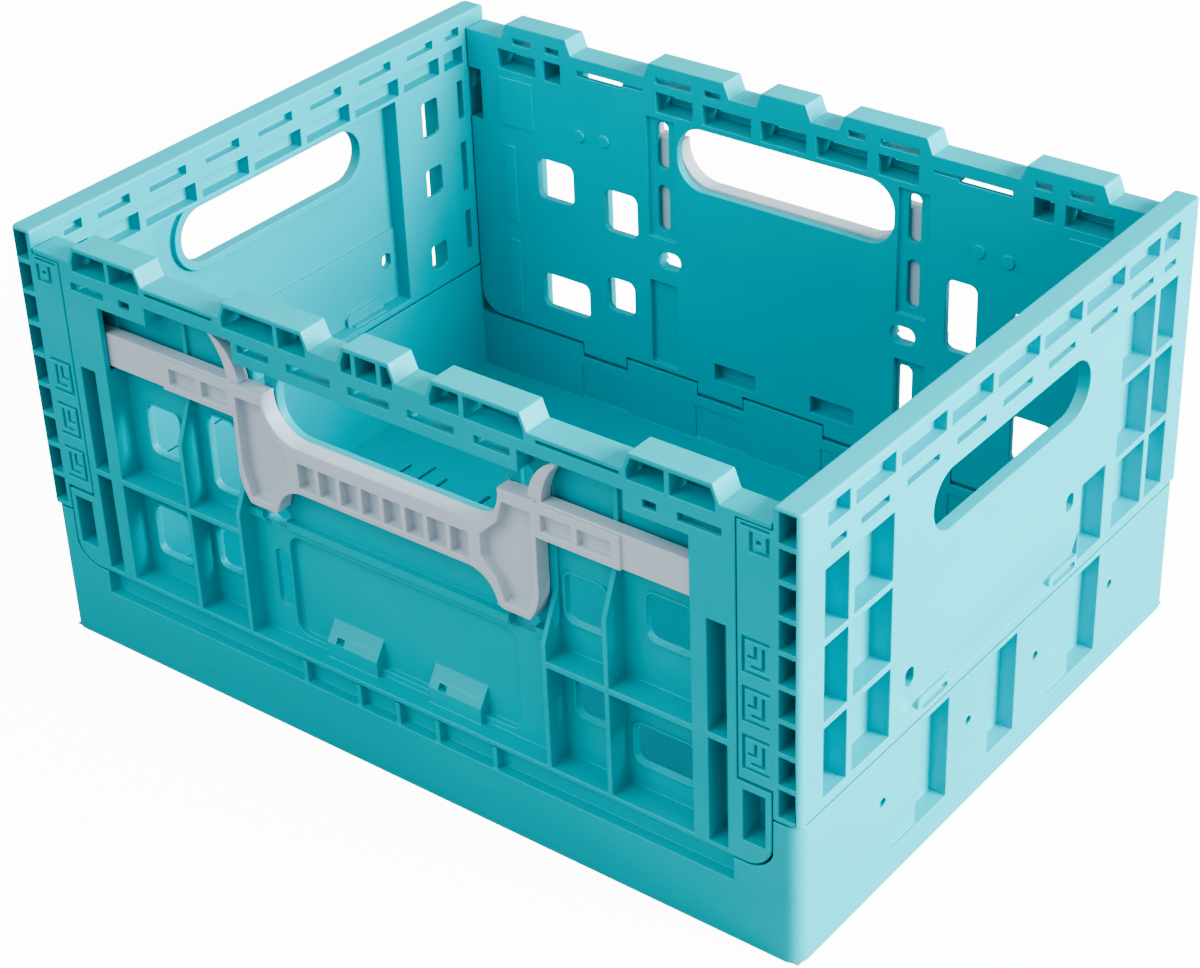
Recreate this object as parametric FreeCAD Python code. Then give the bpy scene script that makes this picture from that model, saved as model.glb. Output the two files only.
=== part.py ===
import FreeCAD, Part
import os

# Collapsible storage crate, standing open.
# Row frame: origin at the centre of the underside, +X along the long walls, the front is -Y, +Z up.
#
# Every wall is drawn in its own frame first: u runs along the wall, to the right as seen from
# outside, d runs inwards from the outer face, and z is the height above the ground.

V = FreeCAD.Vector

# Driving dimensions, in millimetres
LENGTH = 400.0
WIDTH = 298.0
HEIGHT = 204.5
SKIN = 2.5                      # thickness of the plain skins
RIB = 2.5                       # thickness of the ribs
PLAY = 0.5                      # gap between pieces that slide past each other
FAR = 1.0                       # how far a cutter reaches past the face it opens

LONG_T = 14.0                   # depth of a long wall, outer rib edge to inner face
SHORT_T = 12.0                  # depth of a short wall
LONG_HALF = LENGTH / 2 - SHORT_T - PLAY     # half length of a long wall
SHORT_HALF = WIDTH / 2
LONG_BOTTOM = 41.0              # underside of a long wall
SHORT_BOTTOM = 67.0             # underside of a short wall
LONG_SKIN = LONG_T - SKIN       # where the inner skin of a long wall begins
SHORT_SKIN = SHORT_T - 2.4      # where the inner skin of a short wall begins

# Base tray
FLOOR_TOP = 8.0
FLOOR_THICK = 3.0
FLOOR_COLUMNS = 12
FLOOR_ROWS = 6
DRAIN_SLOTS = ((103.0, 35.0), (130.5, 35.0), (142.5, 40.0), (154.0, 35.0))    # (x, outer end in y)
DRAIN_START = 23.0              # inner end in y
DRAIN_WIDTH = 2.2
SKIRT_TOP = 29.0                # outer edge of the low front and rear rims
LONG_RIM_TOP = 39.5
SHORT_RIM_TOP = 66.0
STRIP_D = 5.2                   # face of the recessed strip above the skirt
BASE_CORNER_R = 7.0
SOCKET_D = 7.6                  # outer side of the hinge sockets

# Hinge of a long wall
PIVOT_D = 11.0
PIVOT_Z = 36.0
BARREL_R = 3.0
AXLE_R = 2.0
AXLE_PLAY = 0.06
AXLE_LENGTH = 3.0
KNUCKLE_HALF = 13.5
KNUCKLE_AT = (-108.0, -37.0, 37.0, 108.0)

# Top rail of a long wall
RAIL_Z = 178.0                  # underside of the rail
SHELF_Z = 190.5                 # underside of the shelf between its two tiers
RAIL_LOW = 197.0                # top between the raised lugs
RAIL_WEB = 2.2
LUG_SLOPE = 3.0
# raised lugs: (start, end) along the wall at their foot, then the dividing ribs inside
LUGS = (((-165.5, -122.5), (-142.5,)), ((-79.0, -30.0), (-47.5,)), ((-15.0, 15.0), (-6.5, 6.5)),
        ((30.0, 79.0), (47.5,)), ((122.5, 165.5), (142.5,)))
RAIL_FRONT_LOW = 187.5          # underside of the rail's outer face between the outer lugs
SEAM_U = 172.0                  # where the short wall's flange begins
FOOT_TOP = 78.5
FOOT_R = 12.0
FLANGE_T = 3.0
FLANGE_TOP = 194.0
CHANNEL_D = 9.7                 # depth of the channel that the latch slides in

# Cells of a long wall
WING_END = 156.5                # where the cells end and the end covers begin
OUTER_CELL = (112.8, 151.5)     # cells either side of the rib in the middle of each wing
INNER_CELL = (82.5, 110.3)
END_SLOT = (159.0, 167.5)
LOWER_CELLS_Z = (43.5, 92.0)
UPPER_CELLS_BOTTOM = 95.0
CUT_OVERLAP = 0.1               # how far neighbouring cutters overlap

# Latch
LATCH_FRONT = 1.8
LATCH_BACK = 9.4
LATCH_LIFT = 8.0
ARM_Z = (150.0, 166.0)
ARM_SLOT = (148.0, ARM_Z[1] + LATCH_LIFT + 2.5)     # room for the arms behind the end covers
ARM_FRONT = 3.2
ARM_TIP = 178.0
GRIP_TOP = 146.5
GRIP_BOTTOM = 124.5
LEG_U = (61.0, 79.0)
LEG_BOTTOM = 110.0

# Hand holes
LONG_HAND_HOLE = (60.0, 145.5, 177.5)       # half length, bottom, top
SHORT_HAND_HOLE = (60.0, 145.5, 172.5)

# Short wall
FLANGE_BOTTOM = 80.0
PANEL_HALF = 81.0               # half length of the plain panel
POST_U = 84.0                   # where the corner posts begin
PANEL_TOP = 177.5
PANEL_D = 3.0                   # inner side of the panel's outer skin
SEAM_BUMPS = (-54.0, 48.0)      # bumps and locating tongues over the seam with the base
TONGUE_HALF = 11.0
LADDER_STEPS = 9


# ---------------------------------------------------------------- building blocks

def block(u0, u1, d0, d1, z0, z1):
    return Part.makeBox(u1 - u0, d1 - d0, z1 - z0, V(u0, d0, z0))


def both(u0, u1, d0, d1, z0, z1):
    """The same block at both ends of a wall."""
    return [block(u0, u1, d0, d1, z0, z1), block(-u1, -u0, d0, d1, z0, z1)]


def rounded(u0, u1, d0, d1, z0, z1, radius):
    """A block whose four corners, seen from outside the wall, are rounded."""
    box = block(u0, u1, d0, d1, z0, z1)
    return box.makeFillet(radius, edges_along(box, "d"))


def edges_along(shape, direction):
    axis = {"u": V(1, 0, 0), "d": V(0, 1, 0), "z": V(0, 0, 1)}[direction]
    found = []
    for edge in shape.Edges:
        span = edge.Vertexes[-1].Point.sub(edge.Vertexes[0].Point)
        if span.Length > 0 and abs(span.dot(axis)) > 0.999 * span.Length:
            found.append(edge)
    return found


def prism(points, normal, start, end):
    """A polygon, given in the two directions across normal, pushed from start to end along it."""
    place = {"u": lambda a, b: V(start, a, b), "d": lambda a, b: V(a, start, b),
             "z": lambda a, b: V(a, b, start)}[normal]
    push = {"u": V(end - start, 0, 0), "d": V(0, end - start, 0), "z": V(0, 0, end - start)}[normal]
    corners = [place(a, b) for a, b in points]
    return Part.Face(Part.makePolygon(corners + corners[:1])).extrude(push)


def mirrored(shape):
    return shape.mirror(V(0, 0, 0), V(1, 0, 0))


def join(shapes):
    return shapes[0].multiFuse(shapes[1:]).removeSplitter()


def rod(u0, u1, d, z, radius):
    return Part.makeCylinder(radius, u1 - u0, V(u0, d, z), V(1, 0, 0))


# ---------------------------------------------------------------- long wall

def lug_outline(start, end, inset, z0, z1):
    """Outline of a raised lug, or of a pocket inside it: upright to the low rail, then sloping in."""
    u0 = start + inset
    u1 = end - inset
    foot = [(u0, z0), (u1, z0)]
    if z0 < RAIL_LOW:
        foot.append((u1, RAIL_LOW))
    slope = LUG_SLOPE * (z1 - RAIL_LOW) / (HEIGHT - RAIL_LOW)
    head = [(u1 - slope, z1), (u0 + slope, z1)]
    if z0 < RAIL_LOW:
        head.append((u0, RAIL_LOW))
    return foot + head


def long_wall_blank():
    """The wall's outer form, before its cells and holes are cut."""
    foot = block(SEAM_U, LONG_HALF, 0, LONG_T, LONG_BOTTOM, FOOT_TOP)
    corner = [e for e in edges_along(foot, "d")
              if e.Vertexes[0].X > LONG_HALF - 1 and e.Vertexes[0].Z < LONG_BOTTOM + 1]
    foot = foot.makeFillet(FOOT_R, corner)
    solids = [block(-SEAM_U, SEAM_U, 0, LONG_T, LONG_BOTTOM, RAIL_LOW), foot, mirrored(foot)]
    solids += both(SEAM_U, LONG_HALF, FLANGE_T + PLAY, LONG_T, FOOT_TOP, RAIL_LOW)
    solids += both(SEAM_U, LONG_HALF, 0, FLANGE_T + PLAY, FLANGE_TOP + PLAY, RAIL_LOW)
    for (start, end), _ in LUGS:
        solids.append(prism(lug_outline(start, end, 0, RAIL_LOW, HEIGHT), "d", 0, LONG_T))
    return join(solids)


def rib_cells():
    """Cells between the ribs, the latch channel, and the slots at both ends."""
    cells = []
    for (u0, u1), top in ((OUTER_CELL, RAIL_Z + 1), ((OUTER_CELL[0], LUGS[-1][0][0]), RAIL_FRONT_LOW),
                          (INNER_CELL, RAIL_FRONT_LOW)):
        cells += both(u0, u1, -FAR, LONG_SKIN, UPPER_CELLS_BOTTOM, top)
    for u0, u1 in (OUTER_CELL, INNER_CELL):
        cells += both(u0, u1, -FAR, LONG_SKIN, *LOWER_CELLS_Z)
    for z0, z1 in (LOWER_CELLS_Z, (UPPER_CELLS_BOTTOM, 146)):
        cells += both(*END_SLOT, -FAR, LONG_SKIN, z0, z1)
    # the ribs lean back so that the latch arms can cross them
    middle_rib = (INNER_CELL[1] - CUT_OVERLAP, OUTER_CELL[0] + CUT_OVERLAP)
    bay_rib = (78.6, INNER_CELL[0] + CUT_OVERLAP)
    for (u0, u1), z_full, z_back in ((middle_rib, 126, 150), (bay_rib, 103, 124)):
        lean = prism([(-FAR, z_full), (0, z_full), (CHANNEL_D, z_back), (CHANNEL_D, RAIL_FRONT_LOW),
                      (-FAR, RAIL_FRONT_LOW)], "u", u0, u1)
        cells += [lean, mirrored(lean)]
    # room above the latch for its spring fingers
    cells += both(73.6, bay_rib[1], -FAR, CHANNEL_D, RAIL_Z - FAR, RAIL_FRONT_LOW)
    # behind the end covers: the way of the latch arms, and hollows under the covers
    slot_end = 180.0
    cells += both(OUTER_CELL[1] - CUT_OVERLAP, slot_end, SKIN + 0.3, CHANNEL_D + CUT_OVERLAP, *ARM_SLOT)
    cells += both(slot_end - CUT_OVERLAP, LONG_HALF + FAR, FLANGE_T, LONG_T + FAR, ARM_Z[0], ARM_SLOT[1])
    cells += both(SEAM_U + SKIN, 185, FLANGE_T, LONG_SKIN, 82, 146)
    cells += both(SEAM_U + SKIN, 184.5, -FAR, LONG_SKIN, 51, 75)
    return cells


def latch_bay():
    """The recess of the middle of the wall, with its ridge, and the hand hole."""
    half, low, high = LONG_HAND_HOLE
    bay = [block(-80, 80, -FAR, CHANNEL_D, 104, RAIL_Z), block(-80, 80, -FAR, 6.3, 99.9, 104.1),
           block(-80, 80, -FAR, 8.5, 43.5, 100), rounded(-61, 61, 8.4, 11.3, 46.5, 95.5, 6),
           rounded(-half, half, 9, LONG_T + FAR, low, high, 14)]
    bay += both(62, 78, LONG_T - 1.8, LONG_T + FAR, 114, 177)
    bay += both(62, 78, LONG_SKIN - 0.2, LONG_T + FAR, 44, 90)
    for z0, z1 in ((118, 142), (151, 175)):
        for u0 in (66.5, -73):
            bay.append(rounded(u0, u0 + 6.5, 9, LONG_T, z0, z1, 3))
    for u0 in (59.5, -72.5):
        bay.append(rounded(u0, u0 + 13, 6, LONG_T + FAR, 98.5, 107.5, 4))
    bay.append(rounded(-70, -62.5, 8, LONG_T, 58, 86, 3))
    return bay


# windows through the skin: (start, end) along the wall, (bottom, top)
WINDOWS = (((124, 146), (116.5, 138)), ((85, 105), (109.5, 132)), ((116.5, 146), (55.5, 74.5)),
           ((88, 105), (65.5, 84)), ((-141, -122), (108, 132)), ((-104, -88), (103, 139)),
           ((-145, -124), (55, 80)), ((-107, -92), (62, 82)))
WINDOW_R = 4.0
COLLAR = 1.2
COLLAR_FRONT = 10.3


def window_collars():
    return [rounded(u0 - COLLAR, u1 + COLLAR, COLLAR_FRONT, LONG_SKIN, z0 - COLLAR, z1 + COLLAR,
                    WINDOW_R + COLLAR) for (u0, u1), (z0, z1) in WINDOWS]


def windows():
    return [rounded(u0, u1, COLLAR_FRONT - FAR, LONG_T + FAR, z0, z1, WINDOW_R)
            for (u0, u1), (z0, z1) in WINDOWS]


def rail_pockets():
    """Lower tier open to the inside, upper tier open to the outside, thin slots in both webs."""
    pockets = []
    lower = [(145, 168), (129.5, 139.5), (51, 72), (18, 45)]
    for u0, u1 in lower:
        pockets += both(u0, u1, RAIL_WEB, LONG_T + FAR, RAIL_Z + 2.5, SHELF_Z)
    # between the outer lugs: hollow behind both skins, a thin slit inside and a groove beside it
    slit_start, slit_end = 92.5, 119.0
    pockets += both(slit_start - 4, LUGS[-1][0][0], RAIL_WEB, LONG_SKIN, RAIL_FRONT_LOW - FAR, SHELF_Z)
    pockets += both(slit_start, slit_end, LONG_SKIN - FAR, LONG_T + FAR, RAIL_FRONT_LOW, SHELF_Z)
    pockets += both(80, slit_start + CUT_OVERLAP, LONG_T - 1.5, LONG_T + FAR, 189, 190.2)
    pockets.append(block(-12.5, 12.5, RAIL_WEB, LONG_T + FAR, RAIL_Z + 2.5, SHELF_Z))
    for u0, u1 in lower:
        pockets += both(u0 + 2, u1 - 2, -FAR, RAIL_WEB + FAR, 183.5, 187)
    pockets.append(block(-10.5, 10.5, -FAR, RAIL_WEB + FAR, 183.5, 187))
    pockets += both(83, 121, -FAR, LONG_T - 4, 193.6, 194.9)
    for (start, end), ribs in LUGS:
        space = prism(lug_outline(start, end, 2.0, 193, HEIGHT - RAIL_WEB), "d", -FAR, LONG_T - RAIL_WEB)
        pockets.append(space.cut([block(u - RIB / 2, u + RIB / 2, -2 * FAR, LONG_T, 190, HEIGHT)
                                  for u in ribs]))
    for u0, u1 in ((147, 158), (130, 138), (52, 72), (35, 44)):
        pockets += both(u0, u1, LONG_T - RAIL_WEB - FAR, LONG_T + FAR, 195, 198)
    return pockets


def hinge_domes():
    """Hollow domes at the foot of the wall: outer bulges, and the pockets behind them."""
    bulges = []
    pockets = []
    for middle in (-28, 28):
        outline = [(LONG_SKIN, 43.5), (5.5, 43.5), (5.5, 51), (LONG_SKIN, 60)]
        bulges.append(prism(outline, "u", middle - 14, middle + 14))
        pockets.append(block(middle - 12, middle + 12, 8, LONG_T + FAR, 45.5, 54.5))
        pockets.append(block(middle - 9, middle - 5, 4, 8 + FAR, 51.2, 53.8))
    return bulges, pockets


def inner_bosses():
    """Small round bosses on the inner face, and the raised pads behind the end slots."""
    relief = 0.8
    bosses = [Part.makeCylinder(3.2, relief, V(u, LONG_T, z), V(0, 1, 0))
              for u, z in ((104, 157), (119, 156), (-104, 157), (-119, 156))]
    for z0, z1 in ((47, 88), (99, 140)):
        bosses += both(160, 166, LONG_T, LONG_T + relief, z0, z1)
    bosses += both(147.5, 168, LONG_T, LONG_T + 0.5, 151, 176)
    return bosses


def knuckle(middle):
    """A hinge knuckle under the wall: web, barrel and two stub axles."""
    u0 = middle - KNUCKLE_HALF
    u1 = middle + KNUCKLE_HALF
    web = block(u0, u1, PIVOT_D - BARREL_R, PIVOT_D + BARREL_R, PIVOT_Z, LONG_BOTTOM)
    barrel = rod(u0, u1, PIVOT_D, PIVOT_Z, BARREL_R)
    axle = rod(u0 - AXLE_LENGTH, u1 + AXLE_LENGTH, PIVOT_D, PIVOT_Z, AXLE_R)
    return join([web, barrel, axle])


def long_wall():
    bulges, dome_pockets = hinge_domes()
    wall = long_wall_blank().cut(rib_cells() + latch_bay())
    wall = join([wall] + window_collars() + bulges + inner_bosses())
    wall = wall.cut(windows() + dome_pockets + rail_pockets())
    far = 2 * LENGTH
    shoulder_z = 146.0                  # the shoulders stand either side of the hand hole
    rail_z = 177.0
    regions = {"panel": block(-WING_END, WING_END, -far, far, 0, shoulder_z),
               "left_shoulder": block(-WING_END, 0, -far, far, shoulder_z, rail_z),
               "right_shoulder": block(0, WING_END, -far, far, shoulder_z, rail_z),
               "top_rail": block(-far, far, -far, far, rail_z, far),
               "left_end": block(-far, -WING_END, -far, far, 0, rail_z),
               "right_end": block(WING_END, far, -far, far, 0, rail_z)}
    nodes = {name: wall.common(region) for name, region in regions.items()}
    nodes["hinge_knuckles"] = Part.makeCompound([knuckle(u) for u in KNUCKLE_AT])
    return nodes


# ---------------------------------------------------------------- latch

def latch_outline():
    """Half outline of grip and leg, from the middle of the grip, closed along the middle plane."""
    inner, outer = LEG_U
    top = ARM_Z[1]
    lines = [Part.LineSegment(V(0, 0, GRIP_BOTTOM), V(44, 0, GRIP_BOTTOM)),
             Part.Arc(V(44, 0, GRIP_BOTTOM), V(53, 0, 121), V(58, 0, LEG_BOTTOM + 1.5)),
             Part.LineSegment(V(58, 0, LEG_BOTTOM + 1.5), V(inner, 0, LEG_BOTTOM)),
             Part.LineSegment(V(inner, 0, LEG_BOTTOM), V(outer - 5, 0, LEG_BOTTOM)),
             Part.Arc(V(outer - 5, 0, LEG_BOTTOM), V(outer - 1, 0, 118), V(outer, 0, 128)),
             Part.LineSegment(V(outer, 0, 128), V(outer, 0, top)),
             Part.LineSegment(V(outer, 0, top), V(inner, 0, top)),
             Part.Arc(V(inner, 0, top), V(56, 0, 151.5), V(42, 0, GRIP_TOP)),
             Part.LineSegment(V(42, 0, GRIP_TOP), V(0, 0, GRIP_TOP)),
             Part.LineSegment(V(0, 0, GRIP_TOP), V(0, 0, GRIP_BOTTOM))]
    return Part.Face(Part.Wire([line.toShape() for line in lines]))


def latch_body():
    """Grip and both legs, with their dished faces."""
    half = latch_outline()
    half.translate(V(0, LATCH_FRONT, 0))
    half = half.extrude(V(0, LATCH_BACK - LATCH_FRONT, 0))
    grip = join([half, mirrored(half)])
    dish = 6.6                              # depth of the dished faces, from the wall's outer face
    pitch = 11.5
    pockets = [block(pitch * i - 4.5, pitch * i + 4.5, 0, dish, GRIP_BOTTOM + 3, GRIP_TOP - 7)
               for i in (-3.5, -2.5, -1.5, -0.5, 0.5, 1.5, 2.5, 3.5)]
    leg_dish = prism([(62, 113.5), (73, 113.5), (76.5, 128), (76.5, 160), (63, 160), (60, 150), (51, 141),
                      (51, 131), (58, 124)], "d", 0, dish)
    return grip.cut(pockets + [leg_dish, mirrored(leg_dish)])


def latch_arm():
    """Right arm: a raised frame with two recesses, then a plain bar to the hidden locking tip."""
    low, high = ARM_Z
    start = LEG_U[1]
    bar = block(start, ARM_TIP, ARM_FRONT, LATCH_BACK, low, high)
    frame = block(start, 119, LATCH_FRONT, ARM_FRONT + 1, low, high - 0.8)
    arm = join([bar, frame])
    cuts = [block(81.5, 96, 0, 5, low + 3.5, high - 5), block(99, 114.5, 0, 5, low + 3.5, high - 5),
            block(start + 3, ARM_TIP - 3, 6.8, LATCH_BACK + FAR, low + 2, high - 2)]
    return arm.cut(cuts)


def latch_finger():
    """Right spring finger: a curved horn that thins towards its tip and bears on the rail above."""
    top = 186.5
    low = ARM_Z[1]
    foot = (74.8, 81.5)
    tip = (90.6, 91.6)
    outer = Part.Arc(V(foot[1], 0, low), V(84.8, 0, 178), V(tip[1], 0, top))
    inner = Part.Arc(V(foot[0], 0, low), V(79.6, 0, 178.5), V(tip[0], 0, top))
    edges = [outer.toShape(), Part.LineSegment(V(tip[1], 0, top), V(tip[0], 0, top)).toShape(),
             inner.toShape(), Part.LineSegment(V(foot[0], 0, low), V(foot[1], 0, low)).toShape()]
    blade = Part.Face(Part.Wire(Part.__sortEdges__(edges)))
    blade.translate(V(0, ARM_FRONT, 0))
    return blade.extrude(V(0, LATCH_BACK - ARM_FRONT, 0))


def latch():
    body = latch_body()
    arm = latch_arm()
    finger = latch_finger()
    grip_half = 46.0
    leg = body.common(block(grip_half, LEG_U[1] + FAR, 0, LONG_T, 0, HEIGHT))
    return {"grip": body.common(block(-grip_half, grip_half, 0, LONG_T, 0, HEIGHT)),
            "right_leg": leg, "left_leg": mirrored(leg), "right_arm": arm, "left_arm": mirrored(arm),
            "spring_fingers": Part.makeCompound([finger, mirrored(finger)])}


# ---------------------------------------------------------------- short wall

SHORT_BAYS = ((-132, -118), (-114, -88), (-84, -53), (-49, -19.5), (-15.5, 15.5), (19.5, 49), (53, 84),
              (88, 114), (118, 132))
COLUMN_ROWS = ((72, 104), (107, 141), (144, 174))


def short_wall_blank():
    slab = block(-SHORT_HALF, SHORT_HALF, 0, SHORT_T, SHORT_BOTTOM, HEIGHT)
    corners = [e for e in edges_along(slab, "z") if e.Vertexes[0].Y < 1]
    slab = slab.makeFillet(3.0, corners)
    top = [e for e in edges_along(slab, "u") if e.Vertexes[0].Z > HEIGHT - 1]
    slab = slab.makeFillet(1.2, top)
    solids = [slab]
    flange_end = LENGTH / 2 - SEAM_U - PLAY
    solids += both(SHORT_HALF - FLANGE_T, SHORT_HALF, SHORT_T, flange_end, FLANGE_BOTTOM, FLANGE_TOP)
    return join(solids)


def ladder_windows():
    """Pockets, one above the other, in the end face of each corner post."""
    rung = 2.4
    pitch = (HEIGHT - 1.5 - SHORT_BOTTOM) / LADDER_STEPS
    pockets = []
    for i in range(LADDER_STEPS):
        z0 = SHORT_BOTTOM + rung + pitch * i
        pockets += both(SHORT_HALF - 14, SHORT_HALF + FAR, 2.2, 9.4, z0, z0 + pitch - rung)
    return pockets


def flange_hooks():
    """Grooves of the hooks moulded into the front of each flange."""
    face = SHORT_HALF - 1.6
    grooves = []
    left, right = SHORT_T + 1.5, SHORT_T + 13.5
    for z0 in (85, 107, 129):
        z1 = z0 + 16
        for d0, d1, low, high in ((left, right, z0, z0 + 1.2), (left, right, z1 - 1.2, z1),
                                  (right - 1.2, right, z0, z1), (left + 2, left + 3.2, z0 + 3, z1 - 3),
                                  (left + 2, right - 4, z0 + 3, z0 + 4.2),
                                  (left + 5.5, right - 2.5, z0 + 7, z0 + 8.2),
                                  (left + 5.5, left + 6.7, z0 + 7, z1 - 3)):
            grooves += both(face, SHORT_HALF + FAR, d0, d1, low, high)
    for d0, d1, low, high in ((left, right, 192, 193.2), (left, left + 1.4, 182, 190),
                              (left, right - 5, 182, 183.4), (right - 5, right - 3.6, 182, 190.5),
                              (left + 3.5, right - 6.5, 186, 187.6)):
        grooves += both(face, SHORT_HALF + FAR, d0, d1, low, high)
    return grooves


def short_wall():
    half, low, high = SHORT_HAND_HOLE
    wall = short_wall_blank()
    cuts = ladder_windows() + flange_hooks()
    for z0, z1 in COLUMN_ROWS:
        cuts += both(118, 133.5, -FAR, SHORT_SKIN, z0, z1) + both(88, 114, -FAR, SHORT_SKIN, z0, z1)
    for u0, u1 in SHORT_BAYS:
        cuts.append(block(u0, u1, -FAR, 5.5, 191, 200))
        cuts.append(block(u0, u1, 5.5, SHORT_T + FAR, 179.5, 188.5))
        inset = 0.14 * (u1 - u0)
        cuts.append(block(u0 + inset, u1 - inset, -FAR, 4, 180.5, 183.6))
        cuts.append(block(u0 + inset, u1 - inset, 7.5, SHORT_T + FAR, 194.5, 199))
    cuts.append(block(-PANEL_HALF, PANEL_HALF, PANEL_D, SHORT_T + FAR, 70, PANEL_TOP))
    # shallow slanted recess over the seam
    cuts.append(prism([(-FAR, 71), (2.6, 73), (0, 88), (-FAR, 88)], "u", -80, 58))
    wall = wall.cut(cuts)
    joint_d = PANEL_D - CUT_OVERLAP
    collar = 4.0
    rim = rounded(-half - collar, half + collar, joint_d, 6, low - collar, high + collar, 17)
    step = block(-PANEL_HALF, PANEL_HALF, joint_d, 4.2, 70, 108)
    well = block(57, PANEL_HALF, joint_d, SHORT_T, 70, 111)
    bumps = [rounded(u - 13, u + 13, 0, 6, 66.9, 76, 3.5) for u in SEAM_BUMPS]
    tongues = [block(u - TONGUE_HALF, u + TONGUE_HALF, 4, 9.5, 60, 70.5) for u in SEAM_BUMPS]
    wall = join([wall, rim, step, well] + bumps + tongues)
    cuts = [rounded(-half, half, -FAR, SHORT_T, low, high, 13.4), block(59, 79, -FAR, SHORT_SKIN, 72, 109)]
    cuts += [rounded(u - 9, u + 9, -FAR, 2.2, 69.5, 73, 1.5) for u in SEAM_BUMPS]
    for z0, z1 in ((150, 169), (118, 133), (77, 91)):
        cuts.append(rounded(-111, -99.5, SHORT_SKIN - FAR, SHORT_T + FAR, z0, z1, 2))
    for z0, z1 in ((151, 171), (111, 138), (78, 100)):
        cuts.append(block(-130.5, -126.5, SHORT_SKIN - FAR, SHORT_T + FAR, z0, z1))
    for u, z in ((49, 106), (-74, 92)):
        cuts.append(rounded(u - 3, u + 3, -FAR, SHORT_T, z - 4, z + 4, 2.5))
    wall = wall.cut(cuts)
    far = 2 * LENGTH
    regions = {"panel": block(-POST_U, POST_U, -far, SHORT_T, 0, PANEL_TOP),
               "top_rail": block(-far, far, -far, SHORT_T, PANEL_TOP, far),
               "left_post": block(-far, -POST_U, -far, SHORT_T, 0, PANEL_TOP),
               "right_post": block(POST_U, far, -far, SHORT_T, 0, PANEL_TOP),
               "flanges": block(-far, far, SHORT_T, far, 0, far)}
    return {name: wall.common(region) for name, region in regions.items()}


# ---------------------------------------------------------------- base tray

def hinge_socket(middle):
    """The cheeks and seat of one socket, and the space cut out for the knuckle."""
    gap = 0.4
    cheek = 5.0
    u0 = middle - KNUCKLE_HALF - gap
    u1 = middle + KNUCKLE_HALF + gap
    solids = [block(u0 - cheek, u1 + cheek, SOCKET_D, LONG_T, 29.5, LONG_RIM_TOP)]
    space = [block(u0, u1, SOCKET_D, LONG_T + FAR, 32.4, LONG_RIM_TOP + FAR),
             rod(u0 - cheek + 1, u1 + cheek - 1, PIVOT_D, PIVOT_Z, AXLE_R + AXLE_PLAY)]
    return solids, space


def corner_fill():
    """The base's rise under the rounded foot of a long wall."""
    half = LENGTH / 2 - SHORT_T
    centre_u = LONG_HALF - FOOT_R
    centre_z = LONG_BOTTOM + FOOT_R
    fill = block(SEAM_U - 2, half, 0, 8, SKIRT_TOP, centre_z)
    foot = Part.makeCylinder(FOOT_R + 0.9, 3 * LONG_T, V(centre_u, -LONG_T, centre_z), V(0, 1, 0))
    keep_out = block(0, centre_u, -LONG_T, 2 * LONG_T, LONG_BOTTOM - 0.9, 2 * centre_z)
    return fill.cut([foot, keep_out])


def long_rim():
    half = LENGTH / 2 - SHORT_T
    solids = [block(-half, half, 0, SKIN, 0, SKIRT_TOP),
              block(-half, half, 0, SOCKET_D, SKIRT_TOP - SKIN, SKIRT_TOP),
              block(-half, half, STRIP_D, SOCKET_D, SKIRT_TOP - SKIN, LONG_RIM_TOP),
              block(-half, half, STRIP_D, LONG_T, LONG_RIM_TOP - SKIN, LONG_RIM_TOP),
              block(-half, half, LONG_SKIN, LONG_T, 0, LONG_RIM_TOP)]
    for u in (-52, -21.5, 0, 21.5, 52):
        solids.append(block(u - RIB / 2, u + RIB / 2, 1, STRIP_D, SKIRT_TOP, LONG_RIM_TOP))
    for i in range(-3, 4):
        solids.append(block(56 * i - RIB / 2, 56 * i + RIB / 2, 0, LONG_T, 1, SKIRT_TOP))
    fill = corner_fill()
    solids += [fill, mirrored(fill)]
    spaces = []
    for middle in KNUCKLE_AT:
        socket, space = hinge_socket(middle)
        solids += socket
        spaces += space
        spaces.append(block(middle - 15, middle + 15, LONG_T - 0.6, LONG_T + FAR, FLOOR_TOP + 1, 27))
    return join(solids).cut(spaces)


def short_rim():
    rim = block(-SHORT_HALF, SHORT_HALF, 0, SHORT_T, 0, SHORT_RIM_TOP)
    corners = [e for e in edges_along(rim, "z") if e.Vertexes[0].Y < 1]
    rim = rim.makeFillet(BASE_CORNER_R, corners)
    cuts = [block(u0, u0 + 21, -FAR, 8, 14, 63.5) for u0 in (-64, -10.5, 59)]
    cuts += [block(u0, u0 + 20.5, -FAR, 1.4, 14, 30) for u0 in (-84, 39)]
    for u0, u1 in ((-138, -67), (-40, -13), (13, 56), (83, 138)):
        cuts.append(block(u0, u1, SKIN, SHORT_SKIN, -FAR, 57))
    for u in (-91, -27, 27, 91):
        cuts.append(Part.makeCylinder(2.0, SKIN + 2 * FAR, V(u, -FAR, 42), V(0, 1, 0)))
    slot_half = TONGUE_HALF + 0.3
    cuts += [block(u - slot_half, u + slot_half, 3.7, SHORT_SKIN + 0.2, 59.5, SHORT_RIM_TOP + FAR)
             for u in SEAM_BUMPS]
    return rim.cut(cuts)


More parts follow.
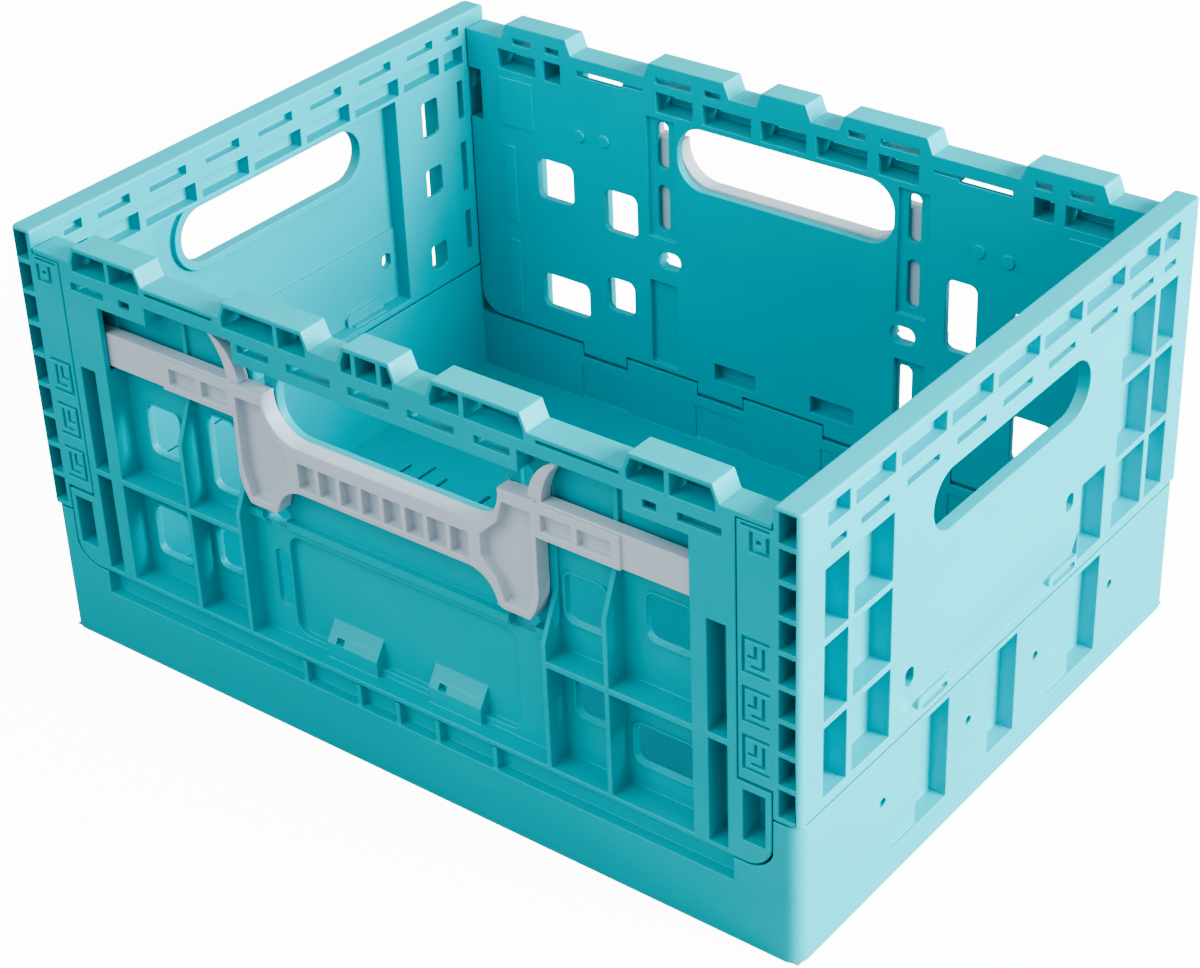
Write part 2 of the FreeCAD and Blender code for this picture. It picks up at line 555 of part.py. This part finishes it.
def floor():
    """Floor plate between the rims, with a grid of feet ribs below and two rows of drain slots."""
    half_x = LENGTH / 2 - SHORT_T
    half_y = WIDTH / 2 - LONG_T
    plate = block(-half_x, half_x, -half_y, half_y, 0, FLOOR_TOP)
    pitch_x = 2 * half_x / FLOOR_COLUMNS
    pitch_y = 2 * half_y / FLOOR_ROWS
    cuts = []
    for i in range(FLOOR_COLUMNS):
        for j in range(FLOOR_ROWS):
            x0 = -half_x + pitch_x * i + RIB / 2
            y0 = -half_y + pitch_y * j + RIB / 2
            cuts.append(block(x0, x0 + pitch_x - RIB, y0, y0 + pitch_y - RIB, -FAR,
                              FLOOR_TOP - FLOOR_THICK))
    for x, slot_end in DRAIN_SLOTS:
        for y0, y1 in ((DRAIN_START, slot_end), (-slot_end, -DRAIN_START)):
            cuts += both(x - DRAIN_WIDTH / 2, x + DRAIN_WIDTH / 2, y0, y1, -FAR, FLOOR_TOP + FAR)
    return plate.cut(cuts)


# ---------------------------------------------------------------- assembly

# how many degrees a wall drawn as the front wall is turned, and where its outer face then lies
SIDES = {"front": (0, V(0, -WIDTH / 2, 0)), "rear": (180, V(0, WIDTH / 2, 0)),
         "right": (90, V(LENGTH / 2, 0, 0)), "left": (270, V(-LENGTH / 2, 0, 0))}


def placed(shape, side):
    turn, shift = SIDES[side]
    copy = shape.copy()
    copy.rotate(V(0, 0, 0), V(0, 0, 1), turn)
    copy.translate(shift)
    return copy


def assembly():
    nodes = {"base_floor": floor()}
    long_nodes = long_wall()
    latch_nodes = latch()
    short_nodes = short_wall()
    low_rim = long_rim()
    high_rim = short_rim()
    for side in ("front", "rear"):
        nodes["base_%s_rim" % side] = placed(low_rim, side)
        for name, shape in long_nodes.items():
            nodes["%s_wall_%s" % (side, name)] = placed(shape, side)
        for name, shape in latch_nodes.items():
            nodes["%s_latch_%s" % (side, name)] = placed(shape, side)
    for side in ("right", "left"):
        nodes["base_%s_rim" % side] = placed(high_rim, side)
        for name, shape in short_nodes.items():
            nodes["%s_wall_%s" % (side, name)] = placed(shape, side)
    return nodes


os.makedirs("parts", exist_ok=True)
for node_name, node_shape in assembly().items():
    node_shape.exportStep("parts/%s.step" % node_name)
    print("%-32s solids %d  valid %s  volume %.0f" % (node_name, len(node_shape.Solids),
                                                      node_shape.isValid(), node_shape.Volume))
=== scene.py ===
import math

import bmesh
import bpy
import numpy as np
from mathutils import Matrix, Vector
from mathutils.geometry import delaunay_2d_cdt


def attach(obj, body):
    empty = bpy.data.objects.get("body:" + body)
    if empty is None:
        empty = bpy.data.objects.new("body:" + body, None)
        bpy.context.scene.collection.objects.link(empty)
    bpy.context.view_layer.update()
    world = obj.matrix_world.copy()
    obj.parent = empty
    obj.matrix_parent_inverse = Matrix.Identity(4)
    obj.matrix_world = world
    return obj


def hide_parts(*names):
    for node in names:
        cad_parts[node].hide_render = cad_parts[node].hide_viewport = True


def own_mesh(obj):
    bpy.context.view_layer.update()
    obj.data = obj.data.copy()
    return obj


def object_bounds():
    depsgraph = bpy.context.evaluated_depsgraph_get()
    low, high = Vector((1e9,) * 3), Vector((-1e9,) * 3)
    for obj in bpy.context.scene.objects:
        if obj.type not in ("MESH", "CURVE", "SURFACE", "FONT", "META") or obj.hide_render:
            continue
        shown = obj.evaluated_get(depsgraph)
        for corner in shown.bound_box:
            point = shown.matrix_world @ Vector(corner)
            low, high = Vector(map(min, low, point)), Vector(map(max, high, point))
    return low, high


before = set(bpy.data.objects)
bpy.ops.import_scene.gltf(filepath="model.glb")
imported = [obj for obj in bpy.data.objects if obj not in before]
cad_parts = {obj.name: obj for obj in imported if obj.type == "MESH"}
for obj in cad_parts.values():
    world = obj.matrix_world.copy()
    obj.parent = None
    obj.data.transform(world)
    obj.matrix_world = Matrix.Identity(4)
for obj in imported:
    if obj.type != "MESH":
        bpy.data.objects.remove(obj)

# The crate stands on the ground plane, its underside centred on the origin, long sides along X.
MM = 0.001
CAD_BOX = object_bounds()
HIGH = CAD_BOX[1]

# ---------------------------------------------------------------- camera
# Direction from the crate to the camera, how far away it is, and where it looks
CAMERA_AZIMUTH = math.radians(38.62)
CAMERA_ELEVATION = math.radians(31.16)
CAMERA_ROLL = math.radians(-2.25)
CAMERA_DISTANCE = 1224.18 * MM
CAMERA_RIGHT = -7.48 * MM
CAMERA_UP = 78.88 * MM
LENS = 80.29                        # focal length for a sensor 36 mm wide
SENSOR = 36
SHIFT_Y = -0.0367
NEAREST_SEEN = 0.05
FARTHEST_SEEN = 60

# ---------------------------------------------------------------- light
FLOOR_SIZE = 30
FLOOR_GREY = (0.32, 0.32, 0.32, 1)
FLOOR_GLOW = 3.6
SKY_STRENGTH = 0.72
WHITE = (1, 1, 1, 1)
CRATE_MIDDLE = (0, 0, 0.1)          # where both softboxes point

# ---------------------------------------------------------------- finish
TURQUOISE = ((0.006, 0.425, 0.495), (0.012, 0.455, 0.525))
TURQUOISE_DUST = (0.30, 0.42, 0.43)
# paler colour of rubbed outer edges, which also paints a highlight along them
TURQUOISE_RUBBED_AND_HIGHLIT = (0.16, 0.60, 0.65)
LATCH_GREY = ((0.480, 0.570, 0.640), (0.520, 0.605, 0.670))
LATCH_DUST = (0.40, 0.42, 0.42)
# paler colour of rubbed outer edges, which also paints a highlight along them
LATCH_RUBBED_AND_HIGHLIT = (0.78, 0.80, 0.83)
PLASTIC_IOR = 1.49
DUST_SHARE = 0.10                   # most that dust changes the colour
RUBBED_AND_HIGHLIGHT_SHARE = 0.22                 # most that rubbing and the painted edge highlight change the colour
GRAIN_HEIGHT = 0.05 * MM
WAVE_HEIGHT = 1.0 * MM
SHADOW_SAMPLES = 4                  # rays that look for edges and corners
EDGE_ROUND = 0.45 * MM
HORN_ROUND = 0.3 * MM

# ---------------------------------------------------------------- rounding of edges
SAME_POINT = 0.001 * MM             # corners of a CAD node's triangles nearer than this are one
JOINED_POINT = 0.02 * MM            # the same, where its nodes have been joined
ONE_FACE = math.radians(1.0)        # neighbouring faces that turn by less than this become one
SHARP = math.radians(28)            # edges that turn by more than this are rounded
SOFT = math.radians(40)             # edges that turn by less than this are shaded smooth
FLAT = math.cos(math.radians(1))    # faces that turn by less than 1 degree are one flat region
SAME_WAY = 0.8                      # edges nearer in direction than this don't face each other
TOUCHING = 0.005 * MM
IN_PLANE = 0.0008 * MM
ROOM_USED = 0.42                    # share of the room beside an edge that its rounding may take
NO_LIMIT = 1                        # in metres, wider than any gap on the crate
FOLDED = 1.0005                     # triangles that cover this many times their face overlap
SAME_CORNER = 1e-5                  # in millimetres, for corners of an outline


# ---------------------------------------------------------------- mesh work

def pick(piece):
    """Selects one piece and nothing else."""
    bpy.ops.object.select_all(action="DESELECT")
    bpy.context.view_layer.objects.active = piece
    piece.select_set(True)


def own_copy(node):
    """A copy of a CAD node with a mesh of its own, its loose triangles merged."""
    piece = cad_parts[node].copy()
    piece.data = piece.data.copy()
    piece.parent = None
    for key in list(piece.keys()):
        if key.startswith("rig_"):
            del piece[key]
    bpy.context.scene.collection.objects.link(piece)
    piece.data.materials.clear()
    pick(piece)
    bpy.ops.object.mode_set(mode="EDIT")
    bpy.ops.mesh.select_all(action="SELECT")
    bpy.ops.mesh.remove_doubles(threshold=SAME_POINT)
    bpy.ops.object.mode_set(mode="OBJECT")
    return piece


def moulded(name, nodes):
    """One moulding from the CAD nodes that it is divided into."""
    piece = own_copy(nodes[0])
    piece.name = piece.data.name = name
    for node in nodes[1:]:
        other = own_copy(node)
        union = piece.modifiers.new("union", "BOOLEAN")
        union.operation = "UNION"
        union.solver = "MANIFOLD"
        union.object = other
        pick(piece)
        bpy.ops.object.modifier_apply(modifier="union")
        bpy.data.objects.remove(other)
    pick(piece)
    bpy.ops.object.mode_set(mode="EDIT")
    bpy.ops.mesh.select_all(action="SELECT")
    bpy.ops.mesh.remove_doubles(threshold=JOINED_POINT)
    bpy.ops.mesh.dissolve_limited(angle_limit=ONE_FACE)
    bpy.ops.object.mode_set(mode="OBJECT")
    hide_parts(*nodes)
    return piece


def flat_regions(mesh):
    """The sharp edges round each flat region, with the region's own faces on their left."""
    region_of = {}
    regions = []
    for first in mesh.faces:
        if first in region_of:
            continue
        region_of[first] = len(regions)
        regions.append([])
        waiting = [first]
        while waiting:
            face = waiting.pop()
            for loop in face.loops:
                if loop.edge.calc_face_angle(0) > SHARP:
                    regions[-1].append((loop.edge, loop.vert.co, loop.link_loop_next.vert.co))
                    continue
                for beside in loop.edge.link_faces:
                    if beside not in region_of and beside.normal.dot(face.normal) > FLAT:
                        region_of[beside] = len(regions) - 1
                        waiting.append(beside)
    return regions


def gap_to_segments(points, starts, along, lengths):
    """Distance from every point to every segment."""
    offset = points[:, None] - starts[None]
    reach = np.clip((offset * along[None]).sum(2), 0, lengths[None])
    return np.linalg.norm(offset - reach[..., None] * along[None], axis=2)


def room_beside(region):
    """How far each edge of a flat region is from the edges that face it across the region."""
    starts = np.array([start for _, start, _ in region])
    ends = np.array([end for _, _, end in region])
    lengths = np.linalg.norm(ends - starts, axis=1)
    along = (ends - starts) / lengths[:, None]
    gap = np.minimum(gap_to_segments(starts, starts, along, lengths),
                     gap_to_segments(ends, starts, along, lengths))
    gap = np.minimum(gap, gap.T)
    gap = np.where(gap < TOUCHING, lengths[None], gap)
    gap[along @ along.T > SAME_WAY] = NO_LIMIT
    return gap.min(axis=1)


def folded_faces(mesh):
    """Many-sided faces whose triangles cover more than the face itself, the largest first."""
    cover = {}
    for corners in mesh.calc_loop_triangles():
        face = corners[0].face
        if len(face.verts) > 4:
            a, b, c = (loop.vert.co for loop in corners)
            cover[face] = cover.get(face, 0) + (b - a).cross(c - a).length / 2
    folded = [face for face, area in cover.items() if area > FOLDED * face.calc_area()]
    return sorted(folded, key=lambda face: -face.calc_area())


def once(elements):
    """The elements without repeats, in the order met, so that every run gives the same mesh."""
    return list(dict.fromkeys(elements))


def flat_around(first, normal, taken):
    """All the faces in one plane that join on to the first."""
    height = normal.dot(first.calc_center_median())
    flat = [first]
    taken.add(first)
    for face in flat:
        for beside in once(other for edge in face.edges for other in edge.link_faces):
            if beside not in taken and all(abs(normal.dot(vert.co) - height) < IN_PLANE
                                           for vert in beside.verts):
                taken.add(beside)
                flat.append(beside)
    return flat


def inside_outline(point, starts, ends):
    """Even-odd test of a point against the segments of an outline."""
    crosses = (starts[:, 1] > point[1]) != (ends[:, 1] > point[1])
    rise = np.where(crosses, ends[:, 1] - starts[:, 1], 1)
    at = starts[:, 0] + (point[1] - starts[:, 1]) / rise * (ends[:, 0] - starts[:, 0])
    return np.count_nonzero(crosses & (at > point[0])) % 2 == 1


def fill_outline(mesh, flat, normal):
    """Covers the outline of a flat region with new triangles and gives the faces it replaces."""
    inside = set(flat)
    outline = [edge for edge in once(edge for face in flat for edge in face.edges)
               if len(inside.intersection(edge.link_faces)) == 1]
    across = normal.orthogonal().normalized()
    up = normal.cross(across)
    height = normal.dot(flat[0].calc_center_median())
    corners = once(vert for edge in outline for vert in edge.verts)
    number = {vert: i for i, vert in enumerate(corners)}
    drawn = [Vector((across.dot(vert.co), up.dot(vert.co))) / MM for vert in corners]
    lines = [(number[edge.verts[0]], number[edge.verts[1]]) for edge in outline]
    points, _, triangles, origins, _, _ = delaunay_2d_cdt(drawn, lines, [], 0, SAME_CORNER)
    starts, ends = (np.array([drawn[line[end]] for line in lines]) for end in (0, 1))
    verts = [corners[origin[0]] if origin else
             mesh.verts.new(MM * (point.x * across + point.y * up) + height * normal)
             for point, origin in zip(points, origins)]
    for triangle in triangles:
        middle = sum((points[i] for i in triangle), Vector((0, 0))) / 3
        if inside_outline(middle, starts, ends):
            three = [verts[i] for i in triangle]
            there = mesh.faces.get(three)
            if there:
                inside.discard(there)
            else:
                mesh.faces.new(three)
    return inside


def refill_flats(piece):
    """Fills a flat region afresh from its outline wherever rounding the edges folded its faces."""
    mesh = bmesh.new()
    mesh.from_mesh(piece.data)
    taken = set()
    old = set()
    for first in folded_faces(mesh):
        if first not in taken:
            normal = first.normal.copy()
            old |= fill_outline(mesh, flat_around(first, normal, taken), normal)
    bmesh.ops.delete(mesh, geom=list(old), context="FACES_ONLY")
    loose = [edge for edge in mesh.edges if not edge.link_faces]
    bmesh.ops.delete(mesh, geom=loose, context="EDGES")
    loose = [vert for vert in mesh.verts if not vert.link_faces]
    bmesh.ops.delete(mesh, geom=loose, context="VERTS")
    mesh.to_mesh(piece.data)
    mesh.free()


def round_edges(piece, width):
    """Rounds every sharp edge by width, or by less where something else is too near."""
    mesh = bmesh.new()
    mesh.from_mesh(piece.data)
    weight = mesh.edges.layers.float.new("bevel_weight_edge")
    room = {}
    for region in flat_regions(mesh):
        if region:
            for (edge, _, _), gap in zip(region, room_beside(region)):
                room[edge] = min(gap, room.get(edge, NO_LIMIT))
    for edge, gap in room.items():
        edge[weight] = min(1.0, ROOM_USED * gap / width)
    mesh.to_mesh(piece.data)
    mesh.free()
    bevel = piece.modifiers.new("bevel", "BEVEL")
    bevel.limit_method = "WEIGHT"
    bevel.width = width
    bevel.segments = 2
    bevel.use_clamp_overlap = False
    bevel.miter_outer = "MITER_SHARP"
    pick(piece)
    bpy.ops.object.modifier_apply(modifier="bevel")
    refill_flats(piece)
    bpy.ops.object.shade_smooth_by_angle(angle=SOFT)
    normals = piece.modifiers.new("normals", "WEIGHTED_NORMAL")
    normals.mode = "FACE_AREA"
    normals.weight = 100
    normals.keep_sharp = True
    bpy.ops.object.modifier_apply(modifier="normals")


# ---------------------------------------------------------------- materials

def shader_node(tree, kind, **inputs):
    """A new shader node; an underscore in an input's name stands for a space."""
    made = tree.nodes.new(kind)
    for name, value in inputs.items():
        made.inputs[name.replace("_", " ")].default_value = value
    return made


def link(tree, source, target):
    tree.links.new(source, target)


def effect(name, inputs, outputs):
    """An empty node group with named sockets, given as {name: (kind, value)} and {name: kind}."""
    tree = bpy.data.node_groups.new(name, "ShaderNodeTree")
    for label, (kind, value) in inputs.items():
        socket = tree.interface.new_socket(name=label, in_out="INPUT", socket_type="NodeSocket" + kind)
        socket.default_value = value
    for label, kind in outputs.items():
        tree.interface.new_socket(name=label, in_out="OUTPUT", socket_type="NodeSocket" + kind)
    return tree, tree.nodes.new("NodeGroupInput"), tree.nodes.new("NodeGroupOutput")


def noise(tree, scale, detail=2.0, stretch=(1, 1, 1)):
    """Noise on the piece's own coordinates; scale is in cycles a metre."""
    place = tree.nodes.new("ShaderNodeTexCoord")
    mapping = shader_node(tree, "ShaderNodeMapping", Scale=stretch)
    pattern = shader_node(tree, "ShaderNodeTexNoise", Scale=scale, Detail=detail)
    link(tree, place.outputs["Object"], mapping.inputs["Vector"])
    link(tree, mapping.outputs["Vector"], pattern.inputs["Vector"])
    return pattern.outputs["Fac"]


def ramp(tree, source, low, high, out_low=0.0, out_high=1.0):
    """Maps low to high on to out_low to out_high."""
    mapped = shader_node(tree, "ShaderNodeMapRange", From_Min=low, From_Max=high, To_Min=out_low,
                         To_Max=out_high)
    link(tree, source, mapped.inputs["Value"])
    return mapped.outputs["Result"]


def maths(tree, operation, first, second):
    """One Math node; first and second are numbers or sockets."""
    made = tree.nodes.new("ShaderNodeMath")
    made.operation = operation
    for value, socket in ((first, made.inputs[0]), (second, made.inputs[1])):
        if isinstance(value, (int, float)):
            socket.default_value = value
        else:
            link(tree, value, socket)
    return made.outputs[0]


def mix(tree, factor, first, second):
    """Mixes two colours; each argument is a plain value or a socket."""
    made = tree.nodes.new("ShaderNodeMix")
    made.data_type = "RGBA"
    for value, socket in ((factor, made.inputs["Factor"]), (first, made.inputs["A"]),
                          (second, made.inputs["B"])):
        if isinstance(value, (int, float)):
            socket.default_value = value
        elif isinstance(value, tuple):
            socket.default_value = (*value, 1)
        else:
            link(tree, value, socket)
    return made.outputs["Result"]


def moulded_grain():
    """Fine spark-eroded grain of the mould, with the long slow waves of a moulded skin."""
    tree, given, out = effect("moulded grain",
                              {"Grain Depth": ("Float", 0.3), "Wave Depth": ("Float", 0.1)},
                              {"Normal": "Vector", "Grain": "Float"})
    grain = noise(tree, 1500, 3)
    waves = noise(tree, 26, 1)
    fine = tree.nodes.new("ShaderNodeBump")
    fine.inputs["Distance"].default_value = GRAIN_HEIGHT
    slow = tree.nodes.new("ShaderNodeBump")
    slow.inputs["Distance"].default_value = WAVE_HEIGHT
    link(tree, given.outputs["Wave Depth"], slow.inputs["Strength"])
    link(tree, waves, slow.inputs["Height"])
    link(tree, given.outputs["Grain Depth"], fine.inputs["Strength"])
    link(tree, grain, fine.inputs["Height"])
    link(tree, slow.outputs["Normal"], fine.inputs["Normal"])
    link(tree, fine.outputs["Normal"], out.inputs["Normal"])
    link(tree, grain, out.inputs["Grain"])
    return tree


def edge_wear_and_highlight():
    """How exposed each place is: 1 on rubbed outer edges, broken up into short rubs; the same mask paints a
    highlight along the edges.
    """
    tree, given, out = effect("edge wear", {"Reach": ("Float", 0.8 * MM)}, {"Wear And Highlight": "Float"})
    hull = tree.nodes.new("ShaderNodeAmbientOcclusion")
    hull.inside = True
    hull.samples = SHADOW_SAMPLES
    link(tree, given.outputs["Reach"], hull.inputs["Distance"])
    edge = ramp(tree, hull.outputs["AO"], 0.75, 0.35)
    rubs = ramp(tree, noise(tree, 160, 3), 0.38, 0.62, 0.35, 1.0)
    link(tree, maths(tree, "MULTIPLY", edge, rubs), out.inputs["Wear And Highlight"])
    return tree


def corner_dust():
    """Where dust settles: in deep corners, broken into patches."""
    tree, given, out = effect("corner dust", {"Reach": ("Float", 6 * MM)}, {"Dust": "Float"})
    hollow = tree.nodes.new("ShaderNodeAmbientOcclusion")
    hollow.samples = SHADOW_SAMPLES
    link(tree, given.outputs["Reach"], hollow.inputs["Distance"])
    deep = ramp(tree, hollow.outputs["AO"], 0.8, 0.3)
    clouds = ramp(tree, noise(tree, 55, 4), 0.35, 0.7, 0.2, 1.0)
    link(tree, maths(tree, "MULTIPLY", deep, clouds), out.inputs["Dust"])
    return tree


EFFECTS = {"grain": moulded_grain(), "wear_and_highlight": edge_wear_and_highlight(), "dust": corner_dust()}


def add_effect(tree, name, **inputs):
    """Places one of the shared effects in a material."""
    made = tree.nodes.new("ShaderNodeGroup")
    made.node_tree = EFFECTS[name]
    for label, value in inputs.items():
        made.inputs[label.replace("_", " ")].default_value = value
    return made


def plastic(name, colours, dusty, worn_and_highlit, roughness, grain_depth, wave_depth):
    """A moulded plastic: two close shades that flow into each other, pale rubbed edges that also paint a
    highlight along them, faint dust.
    """
    material = bpy.data.materials.new(name)
    material.use_nodes = True
    tree = material.node_tree
    shader = tree.nodes["Principled BSDF"]
    grain = add_effect(tree, "grain", Grain_Depth=grain_depth, Wave_Depth=wave_depth)
    wear_and_highlight = add_effect(tree, "wear_and_highlight")
    dust = add_effect(tree, "dust")
    flow = ramp(tree, noise(tree, 9, 2, (1, 1, 2.5)), 0.3, 0.7)
    shade = mix(tree, flow, colours[0], colours[1])
    shade = mix(tree, maths(tree, "MULTIPLY", dust.outputs["Dust"], DUST_SHARE), shade, dusty)
    # paler outer edges: rubbing, and a painted highlight along them
    shade = mix(tree, maths(tree, "MULTIPLY", wear_and_highlight.outputs["Wear And Highlight"], RUBBED_AND_HIGHLIGHT_SHARE), shade, worn_and_highlit)
    link(tree, shade, shader.inputs["Base Color"])
    blotches = ramp(tree, noise(tree, 40, 3), 0.3, 0.7, -0.04, 0.04)
    speckle = ramp(tree, grain.outputs["Grain"], 0.3, 0.7, roughness - 0.03, roughness + 0.03)
    link(tree, maths(tree, "ADD", blotches, speckle), shader.inputs["Roughness"])
    link(tree, grain.outputs["Normal"], shader.inputs["Normal"])
    shader.inputs["IOR"].default_value = PLASTIC_IOR
    return material


def finish(piece, material, body):
    """Gives a piece its plastic and the body that it moves with."""
    piece.data.materials.clear()
    piece.data.materials.append(material)
    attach(piece, body)


# ---------------------------------------------------------------- the crate

crate_plastic = plastic("turquoise polypropylene", TURQUOISE, TURQUOISE_DUST, TURQUOISE_RUBBED_AND_HIGHLIT,
                        roughness=0.46, grain_depth=0.30, wave_depth=0.10)
latch_plastic = plastic("grey acetal", LATCH_GREY, LATCH_DUST, LATCH_RUBBED_AND_HIGHLIT,
                        roughness=0.38, grain_depth=0.15, wave_depth=0.08)


def base_tray():
    tray = moulded("base_tray_moulding", ["base_floor", "base_front_rim", "base_rear_rim",
                                          "base_right_rim", "base_left_rim"])
    round_edges(tray, EDGE_ROUND)
    finish(tray, crate_plastic, "base")


def long_wall(side):
    wall = moulded(side + "_wall_moulding", [side + "_wall_" + part for part in (
        "panel", "left_shoulder", "right_shoulder", "top_rail", "left_end", "right_end",
        "hinge_knuckles")])
    round_edges(wall, EDGE_ROUND)
    finish(wall, crate_plastic, side + "_wall")


def short_wall(side):
    wall = moulded(side + "_wall_moulding", [side + "_wall_" + part for part in (
        "panel", "top_rail", "left_post", "right_post", "flanges")])
    round_edges(wall, EDGE_ROUND)
    finish(wall, crate_plastic, "base")


def latch(side):
    slider = moulded(side + "_latch_moulding", [side + "_latch_" + part for part in (
        "grip", "right_leg", "left_leg", "right_arm", "left_arm")])
    round_edges(slider, EDGE_ROUND)
    finish(slider, latch_plastic, side + "_latch")
    horns = moulded(side + "_latch_horns", [side + "_latch_spring_fingers"])
    round_edges(horns, HORN_ROUND)
    finish(horns, latch_plastic, side + "_latch")
    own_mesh(horns)


base_tray()
for side in ("front", "rear"):
    long_wall(side)
    latch(side)
for side in ("right", "left"):
    short_wall(side)


# ---------------------------------------------------------------- setting

def pale_floor():
    """A pale floor that glows where the camera sees it past the crate's footprint."""
    bpy.ops.object.select_all(action="DESELECT")
    bpy.ops.mesh.primitive_plane_add(size=FLOOR_SIZE)
    floor = bpy.context.object
    floor.name = "pale_floor"
    material = bpy.data.materials.new("pale floor")
    material.use_nodes = True
    shader = material.node_tree.nodes["Principled BSDF"]
    shader.inputs["Base Color"].default_value = FLOOR_GREY
    shader.inputs["Roughness"].default_value = 0.8
    shader.inputs["Emission Color"].default_value = WHITE
    # only the camera sees the glow, so it throws no extra light on the crate
    tree = material.node_tree
    seen = tree.nodes.new("ShaderNodeLightPath")
    place = tree.nodes.new("ShaderNodeTexCoord")
    axes = tree.nodes.new("ShaderNodeSeparateXYZ")
    link(tree, place.outputs["Object"], axes.inputs["Vector"])
    beyond = [maths(tree, "GREATER_THAN", maths(tree, "ABSOLUTE", axes.outputs[axis], 0), HIGH[i] - MM)
              for i, axis in enumerate("XY")]
    bare = maths(tree, "MAXIMUM", *beyond)
    glow = maths(tree, "MULTIPLY", maths(tree, "MULTIPLY", seen.outputs["Is Camera Ray"], bare), FLOOR_GLOW)
    link(tree, glow, shader.inputs["Emission Strength"])
    floor.data.materials.append(material)


def softbox(name, place, size, power):
    """A square soft light that points at the middle of the crate."""
    light = bpy.data.lights.new(name, "AREA")
    light.shape = "SQUARE"
    light.size = size
    light.energy = power
    lamp = bpy.data.objects.new(name, light)
    bpy.context.scene.collection.objects.link(lamp)
    lamp.location = place
    lamp.rotation_euler = (Vector(CRATE_MIDDLE) - Vector(place)).to_track_quat("-Z", "Y").to_euler()


def studio_light():
    world = bpy.data.worlds.new("studio")
    bpy.context.scene.world = world
    world.use_nodes = True
    background = world.node_tree.nodes["Background"]
    background.inputs["Color"].default_value = WHITE
    background.inputs["Strength"].default_value = SKY_STRENGTH
    softbox("key softbox on the right", (1.75, 0.35, 0.75), size=1.0, power=80)
    softbox("fill softbox in front", (-0.6, -1.5, 1.7), size=1.5, power=16)
    view = bpy.context.scene.view_settings
    view.view_transform = "AgX"
    view.look = "AgX - High Contrast"


def camera():
    out = Vector((math.sin(CAMERA_AZIMUTH) * math.cos(CAMERA_ELEVATION),
                  -math.cos(CAMERA_AZIMUTH) * math.cos(CAMERA_ELEVATION), math.sin(CAMERA_ELEVATION)))
    right = (-out).cross(Vector((0, 0, 1))).normalized()
    up = right.cross(-out)
    turned_right = math.cos(CAMERA_ROLL) * right + math.sin(CAMERA_ROLL) * up
    turned_up = -math.sin(CAMERA_ROLL) * right + math.cos(CAMERA_ROLL) * up
    lens = bpy.data.cameras.new("camera")
    lens.lens = LENS
    lens.sensor_width = SENSOR
    lens.shift_y = SHIFT_Y
    lens.clip_start = NEAREST_SEEN
    lens.clip_end = FARTHEST_SEEN
    eye = bpy.data.objects.new("camera", lens)
    bpy.context.scene.collection.objects.link(eye)
    turn = eye.matrix_world.to_3x3()
    turn.col[0], turn.col[1], turn.col[2] = turned_right, turned_up, out
    eye.matrix_world = turn.to_4x4()
    eye.location = out * CAMERA_DISTANCE + turned_right * CAMERA_RIGHT + turned_up * CAMERA_UP
    bpy.context.scene.camera = eye


pale_floor()
studio_light()
camera()
